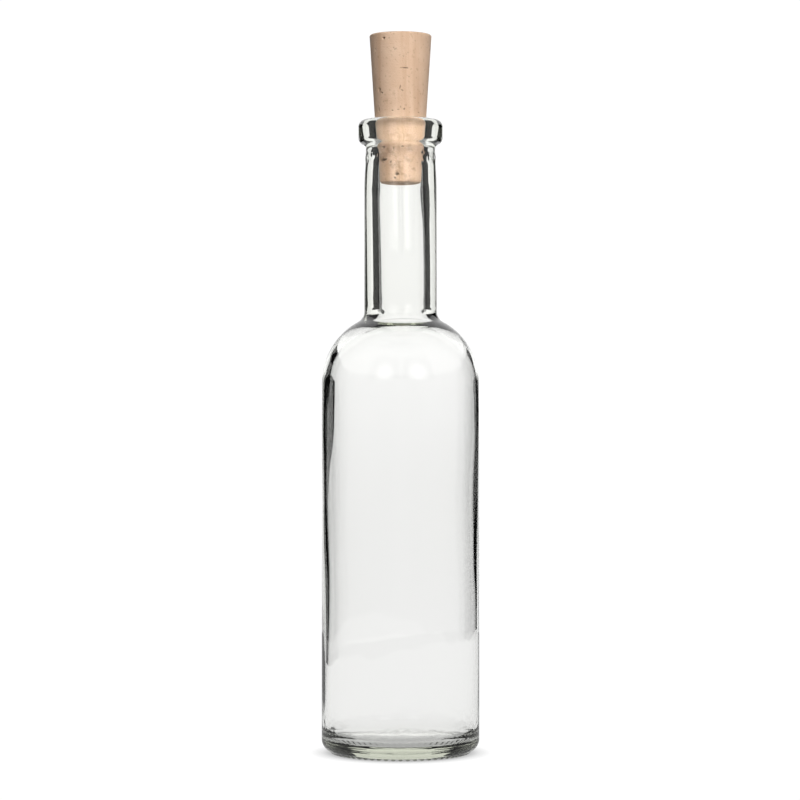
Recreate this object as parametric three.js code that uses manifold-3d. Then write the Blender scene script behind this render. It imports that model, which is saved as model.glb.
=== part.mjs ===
// A small round liquor bottle of clear glass, stopped with a long tapered natural cork.
//
// Units are millimetres and +Z is up. The origin lies on the bottle's axis, in the plane
// that its foot stands on. The bottle is one blown piece of glass: its section runs from
// the hollow under the base, round the foot, up the side, over the shoulder, up the neck,
// round the lip and back down the inside. The cork is one turned piece, held by its taper.

import * as THREE from "three";
import { mergeVertices } from "three/addons/utils/BufferGeometryUtils.js";
import Module from "manifold-3d";

// Body and shoulder
const BODY_DIAMETER = 50;
const BODY_HEIGHT = 117.4; // foot to the top of the straight side
const BODY_WALL = 1.9;
const SHOULDER_RADIUS = 21.9; // outside, in section
const SHOULDER_WALL = 3.4; // glass where the shoulder is nearly level

// Foot
const HEEL_RADIUS = 4.1; // outside corner between side and foot
const INNER_HEEL_EASE = 0.7; // how much rounder the same corner is inside
const FOOT_RING_WIDTH = 2.4;
const BASE_HOLLOW = 2.4; // rise of the push-up above the foot ring
const BASE_THICKNESS = 3.4; // glass between the push-up and the inside

// Grip pads moulded round the foot, which keep the hot glass off the conveyor
const PAD_COUNT = 60;
const PAD_HEIGHT = 0.35;
const PAD_WIDTH = 0.8;
const PAD_LENGTH = 2.8;
const PAD_OVERHANG = 0.9; // how far each pad reaches out under the heel
const PAD_ROOT = 0.4; // how deep each pad is rooted in the foot

// Neck
const BORE_DIAMETER = 14;
const BORE_ROOT_RADIUS = 3.5; // inside corner between bore and shoulder
const NECK_WALL = 4.6;
const NECK_LENGTH = 51.5; // shoulder fillet to lip fillet
const NECK_ROOT_RADIUS = 3.5;
const NECK_NARROWING = 0.55; // radius lost just under the lip
const NECK_TAPER_LENGTH = 13; // length over which it is lost
const SEAM_DROP = 2.4; // the neck ring's mould seam, below the lip fillet
const SEAM_WIDTH = 0.6;
const SEAM_PROUD = 0.12;

// Lip
const MOUTH_FLARE = 1.25; // radius gained from the bore to the rim
const MOUTH_EDGE_RADIUS = 0.7;
const SEAT_DEPTH = 12.8; // rim to where the mouth's taper meets the bore
const LIP_WALL = 5.2;
const LIP_SIDE_HEIGHT = 3.5;
const LIP_UPPER_RADIUS = 2.2;
const LIP_LOWER_RADIUS = 2.2;
const LIP_ROOT_RADIUS = 1.8;

// Cork
const CORK_INSERTION = 21; // below the rim
const CORK_STAND = 27; // above the rim
const CORK_HEAD_TAPER = 0.064; // radius gained for each millimetre above the rim
const CORK_TIP_TAPER = 0.045; // radius lost for each millimetre below the seat
const CORK_EDGE_RADIUS = 0.7;
const CORK_CLEARANCE = 0.12; // radial gap to the glass

// Facets
const ROUND_STEPS = 60;
const ARC_TOLERANCE = 0.05; // how far a facet may stand off a true arc

const bodyRadius = BODY_DIAMETER / 2;
const innerWallRadius = bodyRadius - BODY_WALL;
const footRingRadius = bodyRadius - HEEL_RADIUS;
const boreRadius = BORE_DIAMETER / 2;
const neckRadius = boreRadius + NECK_WALL;
const neckTopRadius = neckRadius - NECK_NARROWING;
const mouthRadius = boreRadius + MOUTH_FLARE;
const lipRadius = mouthRadius + LIP_WALL;

const degrees = THREE.MathUtils.radToDeg;
const radians = THREE.MathUtils.degToRad;
const point = (r, z) => new THREE.Vector2(r, z);

// Points along a circular arc of the section, both ends included.
function arc(centre, radius, from, to) {
  const widest = 2 * degrees(Math.acos(1 - ARC_TOLERANCE / radius));
  const steps = Math.max(2, Math.ceil(Math.abs(to - from) / widest));
  return Array.from({ length: steps + 1 }, (_, i) => {
    const angle = radians(from + ((to - from) * i) / steps);
    return point(centre.x + radius * Math.cos(angle), centre.y + radius * Math.sin(angle));
  });
}

// A fillet whose centre lies filletAxis away from the bottle's axis, touching the circle
// with the given centre and radius from outside. side is +1 above that circle's centre and
// -1 below it. The direction is the way from the circle's centre to the fillet's.
function filletOn(filletAxis, filletRadius, centre, radius, side) {
  const across = filletAxis - centre.x;
  const along = side * Math.sqrt((radius + filletRadius) ** 2 - across ** 2);
  return {
    centre: point(filletAxis, centre.y + along),
    direction: degrees(Math.atan2(along, across)),
  };
}

// Underside of the base: a shallow dome that springs from the foot ring's inner edge
const hollowEdge = footRingRadius - FOOT_RING_WIDTH;
const hollowRadius = (hollowEdge ** 2 + BASE_HOLLOW ** 2) / (2 * BASE_HOLLOW);
const hollowReach = degrees(Math.asin(hollowEdge / hollowRadius));
const hollowCentre = point(0, PAD_HEIGHT + BASE_HOLLOW - hollowRadius);

// Inside of the base: the same dome, higher by the thickness of the glass, and the fillet
// that leads it into the wall
const bottomRadius = hollowRadius + BASE_THICKNESS;
const innerHeelRadius = HEEL_RADIUS + INNER_HEEL_EASE;
const innerHeel = filletOn(
  innerWallRadius - innerHeelRadius,
  innerHeelRadius,
  hollowCentre,
  bottomRadius,
  1,
);

// Outside of the shoulder, and the fillet that leads it into the neck
const shoulderCentre = point(bodyRadius - SHOULDER_RADIUS, BODY_HEIGHT);
const neckRoot = filletOn(
  neckRadius + NECK_ROOT_RADIUS,
  NECK_ROOT_RADIUS,
  shoulderCentre,
  SHOULDER_RADIUS,
  1,
);

// Inside of the shoulder, and the fillet that leads it into the bore
const innerShoulderRadius = SHOULDER_RADIUS - SHOULDER_WALL;
const innerShoulderCentre = point(innerWallRadius - innerShoulderRadius, BODY_HEIGHT);
const boreRoot = filletOn(
  boreRadius + BORE_ROOT_RADIUS,
  BORE_ROOT_RADIUS,
  innerShoulderCentre,
  innerShoulderRadius,
  1,
);

// The lip is built upwards from the end of the neck
const neckTopHeight = neckRoot.centre.y + NECK_LENGTH;
const lipLowerAxis = lipRadius - LIP_LOWER_RADIUS;
const lipRoot = filletOn(
  neckTopRadius + LIP_ROOT_RADIUS,
  LIP_ROOT_RADIUS,
  point(lipLowerAxis, 0),
  LIP_LOWER_RADIUS,
  -1,
);
const lipLowerCentre = point(lipLowerAxis, neckTopHeight - lipRoot.centre.y);
const lipUpperCentre = point(lipRadius - LIP_UPPER_RADIUS, lipLowerCentre.y + LIP_SIDE_HEIGHT);
const rimHeight = lipUpperCentre.y + LIP_UPPER_RADIUS;
const seamHeight = neckTopHeight - SEAM_DROP;

// Outside radius of the neck at a height: even, then narrowing towards the lip.
function neckRadiusAt(height) {
  const share = 1 - (neckTopHeight - height) / NECK_TAPER_LENGTH;
  return THREE.MathUtils.lerp(neckRadius, neckTopRadius, THREE.MathUtils.clamp(share, 0, 1));
}

// Radius of the glass round the cork, at a depth below the rim.
function seatRadiusAt(depth) {
  return THREE.MathUtils.lerp(mouthRadius, boreRadius, Math.min(depth / SEAT_DEPTH, 1));
}

// Turns a closed section into a solid round +Z.
function turned(section) {
  const geometry = new THREE.LatheGeometry(section, ROUND_STEPS);
  return geometry.rotateX(Math.PI / 2);
}

function undersideSection() {
  return arc(hollowCentre, hollowRadius, 90, 90 - hollowReach);
}

function outsideSection() {
  const heelCentre = point(footRingRadius, PAD_HEIGHT + HEEL_RADIUS);
  const taperStart = neckTopHeight - NECK_TAPER_LENGTH;
  const seamLow = seamHeight - SEAM_WIDTH / 2;
  const seamHigh = seamHeight + SEAM_WIDTH / 2;
  return [
    ...arc(heelCentre, HEEL_RADIUS, -90, 0),
    ...arc(shoulderCentre, SHOULDER_RADIUS, 0, neckRoot.direction),
    ...arc(neckRoot.centre, NECK_ROOT_RADIUS, neckRoot.direction - 180, -180).slice(1),
    point(neckRadius, taperStart),
    point(neckRadiusAt(seamLow), seamLow),
    point(neckRadiusAt(seamHeight) + SEAM_PROUD, seamHeight),
    point(neckRadiusAt(seamHigh), seamHigh),
  ];
}

function lipSection() {
  const rootCentre = point(neckTopRadius + LIP_ROOT_RADIUS, neckTopHeight);
  const edgeAxis = seatRadiusAt(MOUTH_EDGE_RADIUS) + MOUTH_EDGE_RADIUS;
  const edgeCentre = point(edgeAxis, rimHeight - MOUTH_EDGE_RADIUS);
  return [
    ...arc(rootCentre, LIP_ROOT_RADIUS, 180, lipRoot.direction + 180),
    ...arc(lipLowerCentre, LIP_LOWER_RADIUS, lipRoot.direction, 0).slice(1),
    ...arc(lipUpperCentre, LIP_UPPER_RADIUS, 0, 90),
    ...arc(edgeCentre, MOUTH_EDGE_RADIUS, 90, 180),
  ];
}

function insideSection() {
  return [
    point(boreRadius, rimHeight - SEAT_DEPTH),
    ...arc(boreRoot.centre, BORE_ROOT_RADIUS, 180, boreRoot.direction + 180),
    ...arc(innerShoulderCentre, innerShoulderRadius, boreRoot.direction, 0).slice(1),
    ...arc(innerHeel.centre, innerHeelRadius, 0, innerHeel.direction - 180),
    ...arc(hollowCentre, bottomRadius, innerHeel.direction, 90).slice(1),
  ];
}

// A geometry's closed mesh as a solid that can be joined to others.
function solidOf(wasm, geometry) {
  const bare = geometry.clone().deleteAttribute("normal").deleteAttribute("uv");
  const merged = mergeVertices(bare);
  const vertProperties = new Float32Array(merged.getAttribute("position").array);
  const triVerts = new Uint32Array(merged.getIndex().array);
  return new wasm.Manifold(new wasm.Mesh({ numProp: 3, vertProperties, triVerts }));
}

function geometryOf(solid) {
  const { vertProperties, triVerts } = solid.getMesh();
  const geometry = new THREE.BufferGeometry();
  geometry.setAttribute("position", new THREE.BufferAttribute(vertProperties, 3));
  geometry.setIndex(new THREE.BufferAttribute(triVerts, 1));
  geometry.computeVertexNormals();
  return geometry;
}

// One grip pad: a short radial bar whose flat underside is what the bottle stands on.
function padGeometry(index) {
  const outerEnd = footRingRadius + PAD_OVERHANG;
  const height = PAD_HEIGHT + PAD_ROOT;
  const bar = new THREE.BoxGeometry(PAD_LENGTH, PAD_WIDTH, height);
  bar.translate(outerEnd - PAD_LENGTH / 2, 0, height / 2);
  return bar.rotateZ((index / PAD_COUNT) * 2 * Math.PI);
}

async function bottleMesh() {
  const wasm = await Module();
  wasm.setup();
  const section = [
    ...undersideSection(),
    ...outsideSection(),
    ...lipSection(),
    ...insideSection(),
  ];
  const pads = Array.from({ length: PAD_COUNT }, (_, i) => solidOf(wasm, padGeometry(i)));
  const glass = wasm.Manifold.union([solidOf(wasm, turned(section)), ...pads]);
  const clearGlass = new THREE.MeshStandardMaterial({
    color: 0xe4ebe2,
    roughness: 0.03,
    metalness: 0,
    transparent: true,
    opacity: 0.35,
  });
  const mesh = new THREE.Mesh(geometryOf(glass), clearGlass);
  mesh.name = "glass_bottle";
  return mesh;
}

// Radius of the cork at a depth below the rim: it fills the mouth's taper, and tapers on
// by itself below the seat and above the rim.
function corkRadiusAt(depth) {
  const tip = CORK_TIP_TAPER * Math.max(depth - SEAT_DEPTH, 0);
  const head = CORK_HEAD_TAPER * Math.max(-depth, 0);
  return seatRadiusAt(Math.max(depth, 0)) - CORK_CLEARANCE - tip + head;
}

// The cork's section is drawn upwards from its foot, which is at height 0 here.
function corkMesh() {
  const length = CORK_INSERTION + CORK_STAND;
  const edge = CORK_EDGE_RADIUS;
  const footCentre = point(corkRadiusAt(CORK_INSERTION) - edge, edge);
  const topCentre = point(corkRadiusAt(-CORK_STAND) - edge, length - edge);
  const seat = point(corkRadiusAt(SEAT_DEPTH), CORK_INSERTION - SEAT_DEPTH);
  const section = [
    point(0, 0),
    ...arc(footCentre, edge, -90, 0),
    ...(seat.y > edge ? [seat] : []),
    point(corkRadiusAt(0), CORK_INSERTION),
    ...arc(topCentre, edge, 0, 90),
    point(0, length),
  ];
  const naturalCork = new THREE.MeshStandardMaterial({
    color: 0xd3a988,
    roughness: 0.85,
    metalness: 0,
  });
  const mesh = new THREE.Mesh(turned(section), naturalCork);
  mesh.name = "cork_stopper";
  mesh.position.z = rimHeight - CORK_INSERTION;
  return mesh;
}

const bottle = new THREE.Group();
bottle.add(await bottleMesh(), corkMesh());

export default bottle;
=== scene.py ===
import math
import random

import bpy
import numpy as np
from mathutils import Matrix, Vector


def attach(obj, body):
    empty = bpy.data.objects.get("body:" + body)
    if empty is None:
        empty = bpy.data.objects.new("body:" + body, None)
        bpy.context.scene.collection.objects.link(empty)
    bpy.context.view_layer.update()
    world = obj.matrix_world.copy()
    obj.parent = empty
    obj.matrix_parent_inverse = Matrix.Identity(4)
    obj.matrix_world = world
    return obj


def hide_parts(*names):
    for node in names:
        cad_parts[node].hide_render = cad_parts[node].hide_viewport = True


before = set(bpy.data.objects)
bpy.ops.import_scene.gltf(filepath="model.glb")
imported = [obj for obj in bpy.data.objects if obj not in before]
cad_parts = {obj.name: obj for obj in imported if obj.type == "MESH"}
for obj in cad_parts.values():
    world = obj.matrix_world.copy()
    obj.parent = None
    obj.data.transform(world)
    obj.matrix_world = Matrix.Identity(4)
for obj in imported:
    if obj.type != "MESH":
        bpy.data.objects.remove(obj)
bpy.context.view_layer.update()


# The camera stands level with the middle of the bottle and 857 mm in front of it, with a
# long lens, as for a catalogue picture. It sees the mouth of the bottle slightly from
# below and the foot slightly from above.
EYE_HEIGHT = 0.1118
EYE_DISTANCE = 0.857

scene = bpy.context.scene
scene.view_settings.view_transform = "Standard"
lens = bpy.data.cameras.new("camera")
lens.sensor_width = 36
lens.lens = 121.5
camera = bpy.data.objects.new("camera", lens)
scene.collection.objects.link(camera)
camera.location = (-0.00016, -EYE_DISTANCE, EYE_HEIGHT)
camera.rotation_euler = (math.pi / 2, 0, 0)
scene.camera = camera
bpy.context.view_layer.update()


# The studio is a white table with a white panel behind it, a black card on either side of
# the view, and two large softboxes in front, the right one stronger. Panel, cards and
# boxes belong to the camera's stand, as where the object is turned in front of a camera.
# Their strengths and edges were fitted to the photograph.
def linear(colour):
    """An sRGB hex colour as linear red, green, blue and 1."""
    parts = [int(colour[i : i + 2], 16) / 255 for i in (1, 3, 5)]
    curve = [p / 12.92 if p <= 0.04045 else ((p + 0.055) / 1.055) ** 2.4 for p in parts]
    return (*curve, 1.0)


def add(tree, kind, inputs=(), **settings):
    """Adds a node with its settings. An input is a value or the socket that feeds it."""
    made = tree.nodes.new(kind)
    for name, value in settings.items():
        setattr(made, name, value)
    for socket, value in dict(inputs).items():
        if isinstance(value, bpy.types.NodeSocket):
            tree.links.new(value, made.inputs[socket])
        else:
            made.inputs[socket].default_value = value
    return made


def glowing(name, strength):
    """A white glow whose strength is a number or worked out in its tree."""
    coat = bpy.data.materials.new(name)
    coat.use_nodes = True
    tree = coat.node_tree
    tree.nodes.clear()
    strength = strength(tree) if callable(strength) else strength
    shine = add(tree, "ShaderNodeEmission", {"Color": (1, 1, 1, 1), "Strength": strength})
    add(tree, "ShaderNodeOutputMaterial", {"Surface": shine.outputs[0]})
    return coat


def flat(name, corners, coat):
    """A flat sheet of the studio with its corners in order, hidden from the lens."""
    mesh = bpy.data.meshes.new(name)
    mesh.from_pydata(corners, [], [tuple(range(len(corners)))])
    mesh.materials.append(coat)
    sheet = bpy.data.objects.new(name, mesh)
    scene.collection.objects.link(sheet)
    sheet.visible_camera = sheet.visible_shadow = False
    return sheet


def on_the_stand(sheet):
    """Fixes a sheet, already in its place, to the camera's stand."""
    sheet.parent = camera
    sheet.matrix_parent_inverse = camera.matrix_world.inverted()


def straight_into_the_lens(tree):
    """1 for what the glass shows the lens, and 0 for the light that falls on matt things."""
    path = add(tree, "ShaderNodeLightPath").outputs
    through = add(
        tree,
        "ShaderNodeMath",
        {0: path["Is Transmission Ray"], 1: path["Is Glossy Ray"]},
        operation="MAXIMUM",
    )
    matt = add(
        tree, "ShaderNodeMath", {0: path["Diffuse Depth"], 1: 0.5}, operation="LESS_THAN"
    )
    both = {0: through.outputs[0], 1: matt.outputs[0]}
    return add(tree, "ShaderNodeMath", both, operation="MULTIPLY").outputs[0]


WHITE = 1.04
PANEL_LOW = 0.97
PANEL_HIGH = 1.11


def panel_tone(tree):
    """The panel is lit from above, so that it is brighter behind the neck."""
    at = add(tree, "ShaderNodeTexCoord").outputs["Object"]
    height = add(tree, "ShaderNodeSeparateXYZ", {0: at}).outputs["Z"]
    lit = {"Value": height, "From Min": 0.03, "From Max": 0.2}
    lit.update({"To Min": PANEL_LOW, "To Max": PANEL_HIGH})
    return add(tree, "ShaderNodeMapRange", lit, interpolation_type="SMOOTHSTEP").outputs[0]


panel = flat(
    "white_panel",
    [(-0.9, 0.6, -0.2), (0.9, 0.6, -0.2), (0.9, 0.6, 1.2), (-0.9, 0.6, 1.2)],
    glowing("white_panel", panel_tone),
)
panel.visible_diffuse = False
on_the_stand(panel)

# A black card stands on either side, between the panel and the bottle. Its inner edge is
# given as (degrees beside the middle of the panel, height): these are the dark lines that
# run up the sides of the body and the neck.
CARD_TOP = 0.3
CARD_FOOT = -0.2
CARD_NEAR = (0.205, 0.44)
CARD_FAR = (0.42, 0.12)
CARD_EDGE = [
    (34, CARD_FOOT), (30, 0.014), (24, 0.063), (17, 0.1), (17, 0.13), (33, 0.158),
    (33, 0.215), (22, 0.25), (22, CARD_TOP),
]  # fmt: skip
run = CARD_FAR[0] - CARD_NEAR[0], CARD_FAR[1] - CARD_NEAR[1]
black = glowing("black_card", 0.004)
for name, side in (("black_card_left", -1), ("black_card_right", 1)):
    corners = [(side * CARD_FAR[0], CARD_FAR[1], height) for height in (CARD_TOP, CARD_FOOT)]
    for degrees, height in CARD_EDGE:
        slope = math.tan(math.radians(degrees))
        share = (slope * CARD_NEAR[1] - CARD_NEAR[0]) / (run[0] - slope * run[1])
        x, y = CARD_NEAR[0] + share * run[0], CARD_NEAR[1] + share * run[1]
        corners.append((side * x, y, height))
    dark = flat(name, corners, black)
    dark.visible_diffuse = False
    on_the_stand(dark)


BOX_DISTANCE = 0.95
BOX_WIDTH = 0.8
BOX_LOW = 0.212
BOX_HIGH = 1.1
GATHERED = 2.1


def softbox(name, turned, on_matt, in_glass):
    """A softbox in front of the bottle, some degrees to the right of the lens. On matt
    things it is even. In the glass it fades out towards its sides and its top."""
    way = math.radians(turned)
    place = Vector((math.sin(way), -math.cos(way), 0)) * BOX_DISTANCE
    level = Vector((math.cos(way), math.sin(way), 0)) * (BOX_WIDTH / 2)

    def brightness(tree):
        uv = add(tree, "ShaderNodeTexCoord").outputs["UV"]
        low = add(tree, "ShaderNodeVectorMath", {0: uv, 1: (1, 0.7, 0)}, operation="MULTIPLY")
        spread = add(
            tree,
            "ShaderNodeVectorMath",
            {0: low.outputs[0], 1: (0.5, 0.1, 0)},
            operation="DISTANCE",
        ).outputs["Value"]
        fade = {"Value": spread, "From Min": 0.42, "From Max": 0.02, "To Max": in_glass}
        fade = add(
            tree, "ShaderNodeMapRange", fade, interpolation_type="SMOOTHSTEP"
        ).outputs[0]
        # Few of the rays find the light that the walls of the neck gather on the cork, so
        # the box is stronger for what it lights through the glass.
        through = add(tree, "ShaderNodeLightPath").outputs["Is Transmission Ray"]
        matt = {"Value": through, "To Min": on_matt, "To Max": on_matt * GATHERED}
        matt = add(tree, "ShaderNodeMapRange", matt).outputs[0]
        choice = {0: straight_into_the_lens(tree), 2: matt, 3: fade}
        return add(tree, "ShaderNodeMix", choice).outputs[0]

    corners = [
        place - level + Vector((0, 0, BOX_LOW)),
        place + level + Vector((0, 0, BOX_LOW)),
        place + level + Vector((0, 0, BOX_HIGH)),
        place - level + Vector((0, 0, BOX_HIGH)),
    ]
    box = flat(name, corners, glowing(name, brightness))
    box.data.uv_layers.new(name="sheet").data.foreach_set("uv", (0, 0, 1, 0, 1, 1, 0, 1))
    on_the_stand(box)


softbox("softbox_right", 25, 5.7, 1.7)
softbox("softbox_left", -25, 2.0, 1.5)

# The room is white to the eye, mid-grey where the glass mirrors it, and dim on the cork.
room = bpy.data.worlds.new("room")
scene.world = room
room.use_nodes = True
tree = room.node_tree
tree.nodes.clear()
shown = straight_into_the_lens(tree)
grey = add(tree, "ShaderNodeMapRange", {"Value": shown, "To Min": 0.04, "To Max": 0.4})
direct = add(tree, "ShaderNodeLightPath").outputs["Is Camera Ray"]
level = add(tree, "ShaderNodeMix", {0: direct, 2: grey.outputs[0], 3: WHITE})
glow = add(
    tree, "ShaderNodeBackground", {"Color": (1, 1, 1, 1), "Strength": level.outputs[0]}
)
add(tree, "ShaderNodeOutputWorld", {"Surface": glow.outputs[0]})

# The table is a white sheet, lit from behind. Through the glass it is almost as light as
# the panel, and as a mirror image grey. To the eye it is white, and darkens only where
# the foot nearly touches it.
TABLE_RADIUS = 0.45
TABLE_THROUGH = PANEL_LOW - 0.05
TABLE_MIRRORED = 0.42
CONTACT_SHADOW = 0.008
CONTACT_TONE = 0.42


def table_tone(tree):
    near = add(
        tree, "ShaderNodeAmbientOcclusion", {"Distance": CONTACT_SHADOW}, samples=12
    ).outputs["AO"]
    path = add(tree, "ShaderNodeLightPath").outputs
    in_glass = {0: path["Is Transmission Ray"], 2: TABLE_MIRRORED, 3: TABLE_THROUGH}
    in_glass = add(tree, "ShaderNodeMix", in_glass).outputs[0]
    bare = {0: path["Is Camera Ray"], 2: in_glass, 3: WHITE}
    bare = add(tree, "ShaderNodeMix", bare).outputs[0]
    shade = {"Value": near, "From Max": 0.85, "To Min": CONTACT_TONE, "To Max": bare}
    return add(tree, "ShaderNodeMapRange", shade).outputs[0]


rim = [math.tau * i / 96 for i in range(96)]
table = flat(
    "table",
    [(TABLE_RADIUS * math.cos(a), TABLE_RADIUS * math.sin(a), 0) for a in rim],
    glowing("white_acrylic_sheet", table_tone),
)
table.visible_camera = True
table.visible_diffuse = False


# The bottle is one piece of clear flint glass, blown in a mould. The mould shapes the
# outside, its neck ring the lip and its base plate the pads. The inside has no mould: the
# wall of the body wanders between about 1.2 and 2.1 mm and the bore runs off centre.
BODY_RADIUS = 25.0
BODY_HEIGHT = 117.4
INNER_RADIUS = 23.1
SHOULDER_RADIUS = 21.9
INNER_SHOULDER_RADIUS = 18.5
HEEL_RADIUS = 4.1
INNER_HEEL_RADIUS = 4.8
FOOT_RING_WIDTH = 2.4
BASE_HOLLOW = 2.4
BASE_THICKNESS = 3.4
PAD_COUNT = 60
PAD_HEIGHT = 0.35
BORE_RADIUS = 7.0
BORE_ROOT_RADIUS = 8.0
NECK_RADIUS = 11.6
NECK_TOP_RADIUS = 11.05
NECK_LENGTH = 51.5
NECK_TAPER_LENGTH = 13.0
NECK_ROOT_RADIUS = 3.5
SEAM_DROP = 2.4
LIP_RADIUS = 13.45
LIP_SIDE_HEIGHT = 3.5
LIP_EDGE_RADIUS = 2.2
LIP_ROOT_RADIUS = 1.8
MOUTH_RADIUS = 8.25
MOUTH_EDGE_RADIUS = 0.7
SEAT_DEPTH = 12.8
MM = 0.001


def arc(centre, radius, start, end, steps):
    """Points of the section along an arc, both ends included, angles in degrees."""
    turns = [math.radians(start + (end - start) * i / steps) for i in range(steps + 1)]
    return [(centre[0] + radius * math.cos(a), centre[1] + radius * math.sin(a)) for a in turns]


def straight(start, end, steps):
    """Points of the section along a straight line, without its start."""
    shares = [i / steps for i in range(1, steps + 1)]
    return [tuple(a + (b - a) * s for a, b in zip(start, end)) for s in shares]


def fillet(axis, radius, centre, reach, side):
    """Centre of a fillet that touches a circle from outside, and the way to it."""
    across = axis - centre[0]
    along = side * math.sqrt((reach + radius) ** 2 - across**2)
    return (axis, centre[1] + along), math.degrees(math.atan2(along, across))


foot_ring = BODY_RADIUS - HEEL_RADIUS
hollow_edge = foot_ring - FOOT_RING_WIDTH
hollow_radius = (hollow_edge**2 + BASE_HOLLOW**2) / (2 * BASE_HOLLOW)
hollow_reach = math.degrees(math.asin(hollow_edge / hollow_radius))
hollow_centre = (0, PAD_HEIGHT + BASE_HOLLOW - hollow_radius)
bottom_radius = hollow_radius + BASE_THICKNESS
inner_heel, inner_heel_way = fillet(
    INNER_RADIUS - INNER_HEEL_RADIUS, INNER_HEEL_RADIUS, hollow_centre, bottom_radius, 1
)
shoulder = (BODY_RADIUS - SHOULDER_RADIUS, BODY_HEIGHT)
neck_root, neck_root_way = fillet(
    NECK_RADIUS + NECK_ROOT_RADIUS, NECK_ROOT_RADIUS, shoulder, SHOULDER_RADIUS, 1
)
inner_shoulder = (INNER_RADIUS - INNER_SHOULDER_RADIUS, BODY_HEIGHT)
bore_root, bore_root_way = fillet(
    BORE_RADIUS + BORE_ROOT_RADIUS, BORE_ROOT_RADIUS, inner_shoulder, INNER_SHOULDER_RADIUS, 1
)
neck_top = neck_root[1] + NECK_LENGTH
lip_axis = LIP_RADIUS - LIP_EDGE_RADIUS
lip_root, lip_way = fillet(
    NECK_TOP_RADIUS + LIP_ROOT_RADIUS, LIP_ROOT_RADIUS, (lip_axis, 0), LIP_EDGE_RADIUS, -1
)
lip_low = neck_top - lip_root[1]
lip_high = lip_low + LIP_SIDE_HEIGHT
rim_height = lip_high + LIP_EDGE_RADIUS
seam_height = neck_top - SEAM_DROP
taper_start = neck_top - NECK_TAPER_LENGTH

foot = arc(hollow_centre, hollow_radius, 90, 90 - hollow_reach, 8)
foot += [(hollow_edge + 0.25, PAD_HEIGHT - 0.01), (hollow_edge + 0.6, PAD_HEIGHT)]
foot += [(hollow_edge + 1.2, PAD_HEIGHT), (foot_ring - 0.6, PAD_HEIGHT)]
foot += arc((foot_ring, PAD_HEIGHT + HEEL_RADIUS), HEEL_RADIUS, -90, -60, 10)
side = arc((foot_ring, PAD_HEIGHT + HEEL_RADIUS), HEEL_RADIUS, -60, 0, 8)[1:]
side += straight(side[-1], (BODY_RADIUS, BODY_HEIGHT), 18)[:-1]
side += arc(shoulder, SHOULDER_RADIUS, 0, neck_root_way, 22)
side += arc(neck_root, NECK_ROOT_RADIUS, neck_root_way - 180, -180, 7)[1:]
side += straight(side[-1], (NECK_RADIUS, taper_start), 9)
collar = []
for i in range(1, 25):
    height = taper_start + NECK_TAPER_LENGTH * (i / 24) ** 0.75
    share = (height - taper_start) / NECK_TAPER_LENGTH
    eased = share * share * (3 - 2 * share)
    seam = 0.12 * math.exp(-(((height - seam_height) / 0.28) ** 2))
    collar.append((NECK_RADIUS + (NECK_TOP_RADIUS - NECK_RADIUS) * eased + seam, height))
lip = arc((lip_root[0], neck_top), LIP_ROOT_RADIUS, 180, lip_way + 180, 7)[1:]
lip += arc((lip_axis, lip_low), LIP_EDGE_RADIUS, lip_way, 0, 8)[1:]
lip += arc((lip_axis, lip_high), LIP_EDGE_RADIUS, 0, 90, 9)
mouth_edge = MOUTH_RADIUS - (MOUTH_RADIUS - BORE_RADIUS) * MOUTH_EDGE_RADIUS / SEAT_DEPTH
mouth_edge_centre = (mouth_edge + MOUTH_EDGE_RADIUS, rim_height - MOUTH_EDGE_RADIUS)
lip += [(lip_axis - 0.8, rim_height)]
lip += arc(mouth_edge_centre, MOUTH_EDGE_RADIUS, 90, 180, 5)
bore = straight(lip[-1], (BORE_RADIUS, rim_height - SEAT_DEPTH), 8)
bore += straight(bore[-1], (BORE_RADIUS, bore_root[1]), 20)[:-1]
bore += arc(bore_root, BORE_ROOT_RADIUS, 180, bore_root_way + 180, 12)
bore += arc(inner_shoulder, INNER_SHOULDER_RADIUS, bore_root_way, 0, 18)[1:]
bore += straight(bore[-1], (INNER_RADIUS, 20), 20)
bore += straight(bore[-1], (INNER_RADIUS, inner_heel[1]), 16)[:-1]
bore += arc(inner_heel, INNER_HEEL_RADIUS, 0, inner_heel_way - 180, 18)
bore += arc(hollow_centre, bottom_radius, inner_heel_way, 90, 18)[1:]
foot[0], bore[-1] = (0, foot[0][1]), (0, bore[-1][1])

# Height, how much wider the inside is than its mean, and how far it runs to the right.
WANDER = [
    (4, 0, 0), (9, 0.1, 0), (18, 0.35, 0.1), (30, 0.4, 0.3), (48, 0.25, 0.45),
    (65, 0.1, 0.15), (80, 0, 0), (95, 0.15, 0.25), (108, 0.22, 0.37),
    (118, 0.1, 0.35), (132, 0.2, 0.35), (143, 0.35, 0.4), (156, 0.4, 0.33),
    (166, 0.4, 0.25), (176, 0.35, -0.05), (184, 0.05, 0), (188, 0, 0),
]  # fmt: skip
heights = np.arange(-30, 240, 0.5)
bell = np.exp(-(((np.arange(-30, 31) * 0.5) / 4.5) ** 2) / 2)
known = np.array(WANDER)
wider, right = (
    np.convolve(np.interp(heights, known[:, 0], known[:, k]), bell / bell.sum(), "same")
    for k in (1, 2)
)
section = foot + side + collar + lip + bore
inside_from = len(section) - len(bore)
rows, drift, finish = [], [], []
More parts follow.
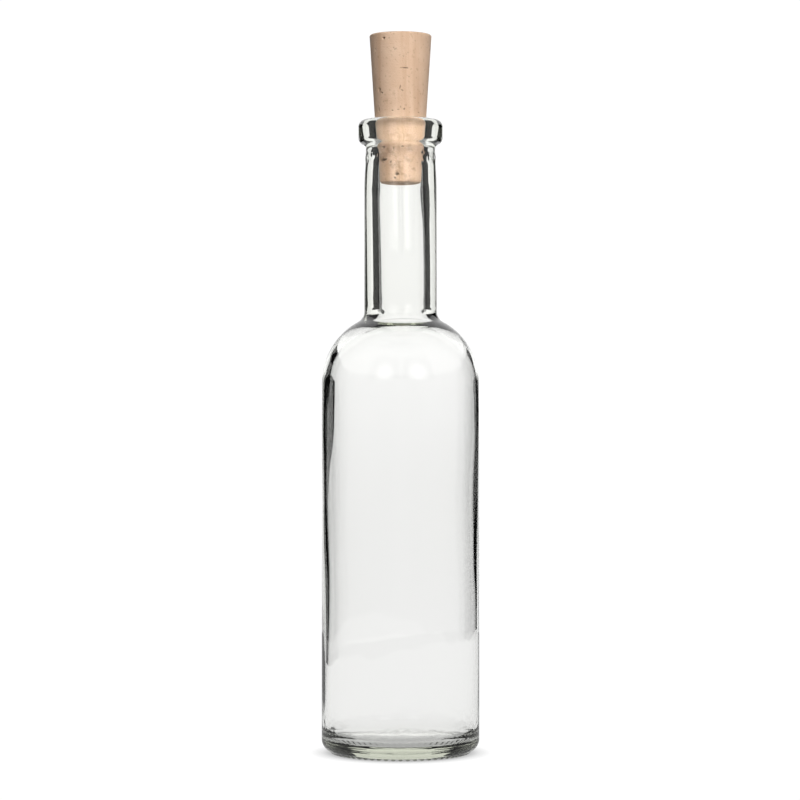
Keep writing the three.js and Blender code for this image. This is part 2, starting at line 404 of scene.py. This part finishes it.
for i, (r, z) in enumerate(section):
    inside = i >= inside_from
    shift = np.interp(z, heights, right) if inside else 0
    if inside and z < rim_height - SEAT_DEPTH:
        r += np.interp(z, heights, wider) * min(1, (r / 20) ** 4 if z < 20 else 1)
    near_lip = math.exp(-(((z - neck_top + 2.6) / 2.4) ** 2))
    ripple = (0.1 if z < BODY_HEIGHT + 15 else 0.05) if inside else 0.012
    if not inside:
        r = max(0, r - 1.5 * ripple)
    else:
        ripple *= min(1, r / 10) * min(1, max(0, rim_height - SEAT_DEPTH - z) / 10)
    wrinkle = 0.0 if inside else 0.13 * near_lip
    pad = 0.0
    if i < len(foot) and r > hollow_edge:
        pad = min(1, (r - hollow_edge) / 0.6) * min(1, max(0, 22.6 - r) / 0.8)
    # From the inside to the foot, so that the faces turned from it look outwards.
    chill = (0.07 if inside else 0.02) * math.exp(-(((z - 7) / 5) ** 2)) * min(1, r / 18)
    rows.insert(0, (r * MM, 0, z * MM))
    drift.insert(0, (shift * MM, 0, chill * MM))
    finish.insert(0, (ripple * MM, wrinkle * MM, pad))


def line_mesh(name, points, **vectors):
    """A mesh of loose points in order, with a vector attribute for each keyword."""
    made = bpy.data.meshes.new(name)
    made.from_pydata(points, [], [])
    for key, values in vectors.items():
        attribute = made.attributes.new(key, "FLOAT_VECTOR", "POINT")
        attribute.data.foreach_set("vector", np.array(values, np.float32).ravel())
    return made


def new_tree(name, sizes):
    """A geometry tree with a Geometry input and output and an input for each size."""
    tree = bpy.data.node_groups.new(name, "GeometryNodeTree")
    kinds = {int: "NodeSocketInt", float: "NodeSocketFloat"}
    tree.interface.new_socket("Geometry", in_out="INPUT", socket_type="NodeSocketGeometry")
    for size, value in sizes.items():
        kind = kinds.get(type(value), "NodeSocketObject")
        kind = "NodeSocketMaterial" if isinstance(value, bpy.types.Material) else kind
        tree.interface.new_socket(size, in_out="INPUT", socket_type=kind)
    tree.interface.new_socket("Geometry", in_out="OUTPUT", socket_type="NodeSocketGeometry")
    return tree


def turn(tree, given, *carried):
    """Turns the section once round the axis: a grid with a column of section points for
    each step round. Gives the grid, the turn, and the section's place and attributes."""
    count = add(
        tree, "GeometryNodeAttributeDomainSize", {"Geometry": given["Geometry"]}
    ).outputs["Point Count"]
    across = add(tree, "ShaderNodeMath", {0: given["Steps round"], 1: 1.0}, operation="ADD")
    grid = add(
        tree, "GeometryNodeMeshGrid", {"Vertices X": count, "Vertices Y": across.outputs[0]}
    )
    index = add(tree, "GeometryNodeInputIndex").outputs[0]
    ratio = add(tree, "ShaderNodeMath", {0: index, 1: across.outputs[0]}, operation="DIVIDE")
    row = add(tree, "ShaderNodeMath", {0: ratio.outputs[0]}, operation="FLOOR").outputs[0]
    step = add(tree, "ShaderNodeMath", {0: index, 1: across.outputs[0]}, operation="MODULO")
    share = add(
        tree, "ShaderNodeMath", {0: step.outputs[0], 1: given["Steps round"]}, operation="DIVIDE"
    )
    angle = add(tree, "ShaderNodeMath", {0: share.outputs[0], 1: math.tau}, operation="MULTIPLY")
    fields = [add(tree, "GeometryNodeInputPosition").outputs[0]]
    for name in carried:
        read = add(
            tree, "GeometryNodeInputNamedAttribute", {"Name": name}, data_type="FLOAT_VECTOR"
        )
        fields.append(read.outputs["Attribute"])
    sampled = [
        add(
            tree,
            "GeometryNodeSampleIndex",
            {"Geometry": given["Geometry"], "Value": field, "Index": row},
            data_type="FLOAT_VECTOR",
        ).outputs[0]
        for field in fields
    ]
    return grid.outputs["Mesh"], angle.outputs[0], sampled


def finished(tree, mesh, material):
    """Ends a tree: closed seam and poles, smooth faces, real mesh, its material."""
    closed = add(
        tree, "GeometryNodeMergeByDistance", {"Geometry": mesh, "Distance": 0.000001}
    )
    smooth = add(tree, "GeometryNodeSetShadeSmooth", {"Geometry": closed.outputs[0]})
    real = add(tree, "GeometryNodeRealizeInstances", {"Geometry": smooth.outputs[0]})
    coated = add(
        tree, "GeometryNodeSetMaterial", {"Geometry": real.outputs[0], "Material": material}
    )
    add(tree, "NodeGroupOutput", {"Geometry": coated.outputs[0]})


def shaped(name, mesh, tree, sizes):
    """Runs a tree on a mesh and gives the result as an object with a plain mesh."""
    source = bpy.data.objects.new(name + "_section", mesh)
    scene.collection.objects.link(source)
    modifier = source.modifiers.new("shape", "NODES")
    modifier.node_group = tree
    for item in tree.interface.items_tree:
        if item.in_out == "INPUT" and item.name in sizes:
            modifier[item.identifier] = sizes[item.name]
    bpy.context.view_layer.update()
    seen_by = bpy.context.evaluated_depsgraph_get()
    solid = bpy.data.meshes.new_from_object(source.evaluated_get(seen_by), depsgraph=seen_by)
    bpy.data.objects.remove(source)
    solid.name = name
    made = bpy.data.objects.new(name, solid)
    scene.collection.objects.link(made)
    return made


# Flint glass, fire-polished: clear, with sharp mirror-like gloss. The eye meets its faint
# green-grey only where it looks along the glass, at the lip, the edges and the base.
flint_glass = bpy.data.materials.new("flint_glass")
flint_glass.use_nodes = True
tree = flint_glass.node_tree
shader = tree.nodes["Principled BSDF"]
shader.inputs["Base Color"].default_value = (1, 1, 1, 1)
shader.inputs["Roughness"].default_value = 0.0
shader.inputs["IOR"].default_value = 1.52
shader.inputs["Transmission Weight"].default_value = 1.0
depth = add(tree, "ShaderNodeVolumeAbsorption", {"Density": 30.0})
depth.inputs["Color"].default_value = linear("#D7DBC8")
tree.links.new(depth.outputs[0], tree.nodes["Material Output"].inputs["Volume"])

sizes = {
    "Steps round": PAD_COUNT * 6,
    "Pad count": PAD_COUNT,
    "Ripple width": 0.014,
    "Wrinkle width": 0.0019,
    "Chill line width": 0.0032,
    "Seed": 4.0,
    "Material": flint_glass,
}
tree = new_tree("blown_glass", sizes)
given = add(tree, "NodeGroupInput").outputs
grid, angle, (place, drift_here, finish_here) = turn(tree, given, "drift", "finish")
place = add(tree, "ShaderNodeSeparateXYZ", {0: place}).outputs
finish_here = add(tree, "ShaderNodeSeparateXYZ", {0: finish_here}).outputs
chill_here = add(tree, "ShaderNodeSeparateXYZ", {0: drift_here}).outputs["Z"]
drift_here = add(
    tree, "ShaderNodeVectorMath", {0: drift_here, 1: (1, 1, 0)}, operation="MULTIPLY"
).outputs[0]
cosine = add(tree, "ShaderNodeMath", {0: angle}, operation="COSINE").outputs[0]
sine = add(tree, "ShaderNodeMath", {0: angle}, operation="SINE").outputs[0]
around = add(tree, "ShaderNodeCombineXYZ", {0: cosine, 1: sine}).outputs[0]
out_to = add(
    tree, "ShaderNodeVectorMath", {0: around, "Scale": place["X"]}, operation="SCALE"
).outputs[0]
# The waves of the inside are three times as long up the bottle as they are round it. The
# chill lines of the heel lie the other way, and the wrinkles below the lip neither way.
grown = place["X"]
for width, upright, amount in (
    (given["Ripple width"], 0.33, finish_here["X"]),
    (given["Wrinkle width"], 1.0, finish_here["Y"]),
    (given["Chill line width"], 4.0, chill_here),
):
    tall = add(tree, "ShaderNodeMath", {0: place["Z"], 1: upright}, operation="MULTIPLY")
    tall = add(tree, "ShaderNodeCombineXYZ", {2: tall.outputs[0]}).outputs[0]
    spot = add(tree, "ShaderNodeVectorMath", {0: tall, 1: out_to}, operation="ADD").outputs[0]
    scale = add(tree, "ShaderNodeMath", {0: 1.0, 1: width}, operation="DIVIDE").outputs[0]
    noise = add(
        tree,
        "ShaderNodeTexNoise",
        {"Vector": spot, "Scale": scale, "Detail": 1.5, "W": given["Seed"]},
        noise_dimensions="4D",
    ).outputs[0]
    swing = add(
        tree, "ShaderNodeMapRange", {"Value": noise, "To Min": -2.0, "To Max": 2.0}, clamp=False
    ).outputs[0]
    grown = add(
        tree, "ShaderNodeMath", {0: swing, 1: amount, 2: grown}, operation="MULTIPLY_ADD"
    ).outputs[0]
level = add(
    tree, "ShaderNodeMath", {0: angle, 1: given["Pad count"]}, operation="MULTIPLY"
).outputs[0]
level = add(tree, "ShaderNodeMath", {0: level}, operation="COSINE").outputs[0]
level = add(
    tree,
    "ShaderNodeMapRange",
    {"Value": level, "From Min": -0.45, "From Max": 0.75},
    interpolation_type="SMOOTHSTEP",
).outputs[0]
level = add(
    tree, "ShaderNodeMath", {0: level, 1: finish_here["Z"]}, operation="MULTIPLY"
).outputs[0]
level = add(tree, "ShaderNodeMath", {0: 1.0, 1: level}, operation="SUBTRACT").outputs[0]
level = add(tree, "ShaderNodeMath", {0: level, 1: place["Z"]}, operation="MULTIPLY").outputs[0]
spot = add(
    tree, "ShaderNodeVectorMath", {0: around, "Scale": grown}, operation="SCALE"
).outputs[0]
spot = add(tree, "ShaderNodeVectorMath", {0: spot, 1: drift_here}, operation="ADD").outputs[0]
lift = add(tree, "ShaderNodeCombineXYZ", {2: level}).outputs[0]
spot = add(tree, "ShaderNodeVectorMath", {0: spot, 1: lift}, operation="ADD").outputs[0]
blown = add(tree, "GeometryNodeSetPosition", {"Geometry": grid, "Position": spot}).outputs[0]
finished(tree, blown, given["Material"])

bottle = shaped(
    "bottle_glass", line_mesh("section", rows, drift=drift, finish=finish), tree, sizes
)
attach(bottle, "bottle")
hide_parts("glass_bottle")


# The stopper is one tapered natural cork, turned from bark and pressed about 20 mm into
# the mouth. Its surface is matt, with the bark's pores cut open across it. Their dark colour
# is partly their own and partly painted shade that deepens with their depth.
CORK_INSERTION = 20.3
CORK_STAND = 27.0
CORK_HEAD_TAPER = 0.064
CORK_TIP_TAPER = 0.045
CORK_EDGE_RADIUS = 0.7
CORK_CLEARANCE = 0.12


def cork_radius(depth):
    """Radius of the cork at a depth below the rim of the glass, in millimetres."""
    seat = min(max(depth, 0) / SEAT_DEPTH, 1)
    seat = MOUTH_RADIUS + (BORE_RADIUS - MOUTH_RADIUS) * seat
    tip = CORK_TIP_TAPER * max(depth - SEAT_DEPTH, 0)
    return seat - CORK_CLEARANCE - tip + CORK_HEAD_TAPER * max(-depth, 0)


cork_foot = rim_height - CORK_INSERTION
cork_top = rim_height + CORK_STAND
foot_edge = cork_radius(CORK_INSERTION) - CORK_EDGE_RADIUS
top_edge = cork_radius(-CORK_STAND) - CORK_EDGE_RADIUS
outline = [(foot_edge * i / 24, cork_foot) for i in range(24)]
outline += arc((foot_edge, cork_foot + CORK_EDGE_RADIUS), CORK_EDGE_RADIUS, -90, 0, 5)
outline += [
    (cork_radius(rim_height - height), height)
    for height in np.linspace(cork_foot + 0.95, cork_top - 0.95, 186)
]
outline += arc((top_edge, cork_top - CORK_EDGE_RADIUS), CORK_EDGE_RADIUS, 0, 90, 5)
outline += [(top_edge * i / 36, cork_top) for i in range(35, -1, -1)]

# Pores on the near side: degrees round from the front, height, length, width, depth, tilt.
PORES = [
    (-33, 225.6, 0.9, 0.75, 0.9, 50), (-56, 222.4, 0.8, 0.55, 0.8, 60),
    (-10, 222.0, 1.3, 0.35, 0.16, 35), (-13, 222.4, 0.6, 0.3, 0.14, -40),
    (9, 216.2, 2.8, 0.32, 0.4, 3), (-50, 209.6, 1.7, 1.0, 0.9, 75),
    (-44, 208.7, 1.0, 0.5, 0.5, -20), (-1, 210.2, 1.5, 0.45, 0.22, 75),
    (3, 209.2, 1.1, 0.4, 0.2, -25), (-55, 203.5, 1.4, 0.7, 0.8, 80),
    (8, 203.3, 0.8, 0.5, 0.3, 20), (-18, 202.9, 0.7, 0.4, 0.3, 0),
    (-5, 203.1, 0.9, 0.35, 0.15, 5), (44, 202.4, 0.8, 0.4, 0.25, -30),
    (-60, 216.3, 0.5, 0.4, 0.3, 20), (-41, 191.5, 1.1, 0.9, 0.8, 60),
    (-16, 191.0, 1.2, 0.4, 0.3, 70), (4, 191.6, 0.9, 0.5, 0.3, 10),
    (-42, 187.4, 2.2, 1.1, 0.35, 15), (-24, 186.6, 1.4, 0.6, 0.3, 40),
    (-8, 182.8, 1.6, 1.1, 0.35, 30), (-14, 181.6, 0.9, 0.6, 0.3, -20),
]  # fmt: skip
chance = random.Random(11)
for _ in range(70):
    turned = chance.uniform(75, 285)
    height = chance.uniform(cork_foot + 2, cork_top - 2)
    length = chance.choice([0.6, 0.7, 0.9, 1.1, 1.4, 2.4])
    PORES.append(
        (turned, height, length, chance.uniform(0.3, 0.7), chance.uniform(0.15, 0.6),
         chance.choice([0, 5, -8, 30, 70, -60]))
    )  # fmt: skip
for _ in range(16):
    turned = chance.uniform(-70, 70)
    height = chance.uniform(cork_foot + 2, cork_top - 2)
    PORES.append((turned, height, chance.uniform(0.4, 0.7), 0.35, 0.12, chance.uniform(-80, 80)))

centres, along, across, deep = [], [], [], []
up = Vector((0, 0, 1))
for turned, height, length, width, depth, tilt in PORES:
    way = math.radians(turned - 90)
    outwards = Vector((math.cos(way), math.sin(way), 0))
    level_way = Vector((-math.sin(way), math.cos(way), 0))
    lean = math.radians(tilt)
    centres.append(outwards * cork_radius(rim_height - height) * MM + up * height * MM)
    along.append((level_way * math.cos(lean) + up * math.sin(lean)) * (2 / length / MM))
    across.append((up * math.cos(lean) - level_way * math.sin(lean)) * (2 / width / MM))
    deep.append((depth * MM, 0, 0))
for _ in range(34):
    way, reach = chance.uniform(0, math.tau), 8.8 * math.sqrt(chance.random())
    lean = chance.choice([0.2, 0.35, 0.1, 1.6])
    length, width = chance.uniform(0.7, 2.6), chance.uniform(0.4, 0.8)
    centres.append(Vector((reach * math.cos(way), reach * math.sin(way), cork_top)) * MM)
    along.append(Vector((math.cos(lean), math.sin(lean), 0)) * (2 / length / MM))
    across.append(Vector((-math.sin(lean), math.cos(lean), 0)) * (2 / width / MM))
    deep.append((chance.uniform(0.2, 0.6) * MM, 0, 0))
pores = bpy.data.objects.new(
    "pores", line_mesh("pores", centres, along=along, across=across, deep=deep)
)
scene.collection.objects.link(pores)

# Natural cork, turned and sanded: matt and warm, pink-beige, with the bark's growth bands
# as faint upright streaks, fine brown specks, and pores whose dark brown is partly their own
# and partly painted shade that grows darker as they go deep.
natural_cork = bpy.data.materials.new("natural_cork")
natural_cork.use_nodes = True
tree = natural_cork.node_tree
shader = tree.nodes["Principled BSDF"]
shader.inputs["Roughness"].default_value = 0.82
shader.inputs["Specular IOR Level"].default_value = 0.3
at = add(tree, "ShaderNodeTexCoord").outputs["Object"]
# Growth bands lie 1 to 3 mm apart in the bark and run the length of the cork.
bands = add(tree, "ShaderNodeMapping", {"Vector": at, "Scale": (1.0, 0.35, 0.05)}).outputs[0]
bands = add(
    tree, "ShaderNodeTexNoise", {"Vector": bands, "Scale": 420.0, "Detail": 2.0}
).outputs[0]
mottle = add(
    tree, "ShaderNodeTexNoise", {"Vector": at, "Scale": 260.0, "Detail": 3.0}
).outputs[0]
# Cork cells are far too fine to show, so the grain is drawn at about 0.4 mm.
grain = add(
    tree, "ShaderNodeTexNoise", {"Vector": at, "Scale": 2400.0, "Detail": 2.0}
).outputs[0]
specks = add(
    tree, "ShaderNodeTexNoise", {"Vector": at, "Scale": 900.0, "Detail": 1.0}
).outputs[0]
colour = add(
    tree,
    "ShaderNodeMix",
    {6: linear("#D2AE90"), 7: linear("#E3C6AC"), 0: mottle},
    data_type="RGBA",
).outputs[2]
streak = add(
    tree,
    "ShaderNodeMapRange",
    {"Value": bands, "From Min": 0.46, "From Max": 0.66, "To Max": 0.4},
).outputs[0]
colour = add(
    tree, "ShaderNodeMix", {0: streak, 6: colour, 7: linear("#BE9473")}, data_type="RGBA"
).outputs[2]
speck = add(
    tree,
    "ShaderNodeMapRange",
    {"Value": specks, "From Min": 0.62, "From Max": 0.74, "To Max": 0.3},
).outputs[0]
colour = add(
    tree, "ShaderNodeMix", {0: speck, 6: colour, 7: linear("#9A7558")}, data_type="RGBA"
).outputs[2]
# The end in the neck is stained brown by what the bottle held.
low = add(tree, "ShaderNodeSeparateXYZ", {0: at}).outputs["Z"]
low = add(
    tree,
    "ShaderNodeMapRange",
    {"Value": low, "From Min": rim_height * MM - 0.006, "From Max": rim_height * MM - 0.01},
).outputs[0]
blots = add(
    tree, "ShaderNodeTexNoise", {"Vector": at, "Scale": 330.0, "Detail": 3.0}
).outputs[0]
blots = add(
    tree,
    "ShaderNodeMapRange",
    {"Value": blots, "From Min": 0.52, "From Max": 0.68, "To Max": 0.6},
).outputs[0]
stain = add(tree, "ShaderNodeMath", {0: low, 1: blots}, operation="MULTIPLY").outputs[0]
colour = add(
    tree, "ShaderNodeMix", {0: stain, 6: colour, 7: linear("#8E6A4E")}, data_type="RGBA"
).outputs[2]
# The pores' colour: their own dark brown, plus painted shade that grows with their depth.
pore = add(tree, "ShaderNodeAttribute", attribute_name="pore").outputs["Fac"]
colour = add(
    tree, "ShaderNodeMix", {0: pore, 6: colour, 7: linear("#46301F")}, data_type="RGBA"
).outputs[2]
tree.links.new(colour, shader.inputs["Base Color"])
bump = add(
    tree, "ShaderNodeBump", {"Height": grain, "Strength": 0.8, "Distance": 0.00015}
).outputs[0]
bump = add(
    tree,
    "ShaderNodeBump",
    {"Height": mottle, "Strength": 0.3, "Distance": 0.0003, "Normal": bump},
).outputs[0]
tree.links.new(bump, shader.inputs["Normal"])

sizes = {
    "Steps round": 300,
    "Unevenness": 0.00003,
    "Seed": 2.0,
    "Pores": pores,
    "Material": natural_cork,
}
tree = new_tree("turned_cork", sizes)
given = add(tree, "NodeGroupInput").outputs
grid, angle, (place,) = turn(tree, given)
place = add(tree, "ShaderNodeSeparateXYZ", {0: place}).outputs
cosine = add(tree, "ShaderNodeMath", {0: angle}, operation="COSINE").outputs[0]
sine = add(tree, "ShaderNodeMath", {0: angle}, operation="SINE").outputs[0]
spot = add(tree, "ShaderNodeCombineXYZ", {0: cosine, 1: sine}).outputs[0]
spot = add(
    tree, "ShaderNodeVectorMath", {0: spot, "Scale": place["X"]}, operation="SCALE"
).outputs[0]
lift = add(tree, "ShaderNodeCombineXYZ", {2: place["Z"]}).outputs[0]
spot = add(tree, "ShaderNodeVectorMath", {0: spot, 1: lift}, operation="ADD").outputs[0]
plain = add(tree, "GeometryNodeSetPosition", {"Geometry": grid, "Position": spot}).outputs[0]
here = add(tree, "GeometryNodeInputPosition").outputs[0]
holes = add(
    tree, "GeometryNodeObjectInfo", {"Object": given["Pores"]}, transform_space="ORIGINAL"
).outputs["Geometry"]
nearest = add(
    tree,
    "GeometryNodeSampleNearest",
    {"Geometry": holes, "Sample Position": here},
    domain="POINT",
).outputs[0]
read = {"centre": add(tree, "GeometryNodeInputPosition").outputs[0]}
for name in ("along", "across", "deep"):
    read[name] = add(
        tree, "GeometryNodeInputNamedAttribute", {"Name": name}, data_type="FLOAT_VECTOR"
    ).outputs["Attribute"]
read = {
    name: add(
        tree,
        "GeometryNodeSampleIndex",
        {"Geometry": holes, "Value": field, "Index": nearest},
        data_type="FLOAT_VECTOR",
    ).outputs[0]
    for name, field in read.items()
}
offset = add(
    tree, "ShaderNodeVectorMath", {0: here, 1: read["centre"]}, operation="SUBTRACT"
).outputs[0]
u, v = (
    add(
        tree, "ShaderNodeVectorMath", {0: offset, 1: read[name]}, operation="DOT_PRODUCT"
    ).outputs["Value"]
    for name in ("along", "across")
)
reach = add(tree, "ShaderNodeCombineXYZ", {0: u, 1: v}).outputs[0]
reach = add(tree, "ShaderNodeVectorMath", {0: reach}, operation="LENGTH").outputs["Value"]
ragged = add(
    tree,
    "ShaderNodeTexNoise",
    {"Vector": here, "Scale": 1700.0, "Detail": 1.0, "W": given["Seed"]},
    noise_dimensions="4D",
).outputs[0]
reach = add(
    tree, "ShaderNodeMath", {0: ragged, 1: 1.1, 2: reach}, operation="MULTIPLY_ADD"
).outputs[0]
hole = add(
    tree,
    "ShaderNodeMapRange",
    {"Value": reach, "From Min": 1.6, "From Max": 0.95},
    interpolation_type="SMOOTHSTEP",
).outputs[0]
depth = add(tree, "ShaderNodeSeparateXYZ", {0: read["deep"]}).outputs["X"]
# Painted shade in the pores: the deeper a pore is cut, the darker it is coloured, on top of its
# own dark brown.
darkness = add(
    tree, "ShaderNodeMapRange", {"Value": depth, "From Max": 0.0004, "To Min": 0.25}
).outputs[0]
darkness = add(
    tree, "ShaderNodeMath", {0: darkness, 1: hole}, operation="MULTIPLY"
).outputs[0]
marked = add(
    tree,
    "GeometryNodeStoreNamedAttribute",
    {"Geometry": plain, "Name": "pore", "Value": darkness},
    data_type="FLOAT",
    domain="POINT",
).outputs[0]
uneven = add(
    tree,
    "ShaderNodeTexNoise",
    {"Vector": here, "Scale": 380.0, "Detail": 3.0, "W": given["Seed"]},
    noise_dimensions="4D",
).outputs[0]
uneven = add(
    tree, "ShaderNodeMath", {0: uneven, 1: given["Unevenness"]}, operation="MULTIPLY"
).outputs[0]
cut = add(
    tree, "ShaderNodeMath", {0: depth, 1: hole, 2: uneven}, operation="MULTIPLY_ADD"
).outputs[0]
cut = add(tree, "ShaderNodeMath", {0: cut, 1: -1.0}, operation="MULTIPLY").outputs[0]
tight = add(
    tree, "GeometryNodeMergeByDistance", {"Geometry": marked, "Distance": 0.000001}
).outputs[0]
facing = add(tree, "GeometryNodeInputNormal").outputs[0]
cut = add(tree, "ShaderNodeVectorMath", {0: facing, "Scale": cut}, operation="SCALE").outputs[0]
pitted = add(tree, "GeometryNodeSetPosition", {"Geometry": tight, "Offset": cut}).outputs[0]
finished(tree, pitted, given["Material"])

outline = [(r * MM, 0, z * MM) for r, z in reversed(outline)]
cork = shaped("cork", line_mesh("outline", outline), tree, sizes)
bpy.data.objects.remove(pores)
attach(cork, "cork")
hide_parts("cork_stopper")
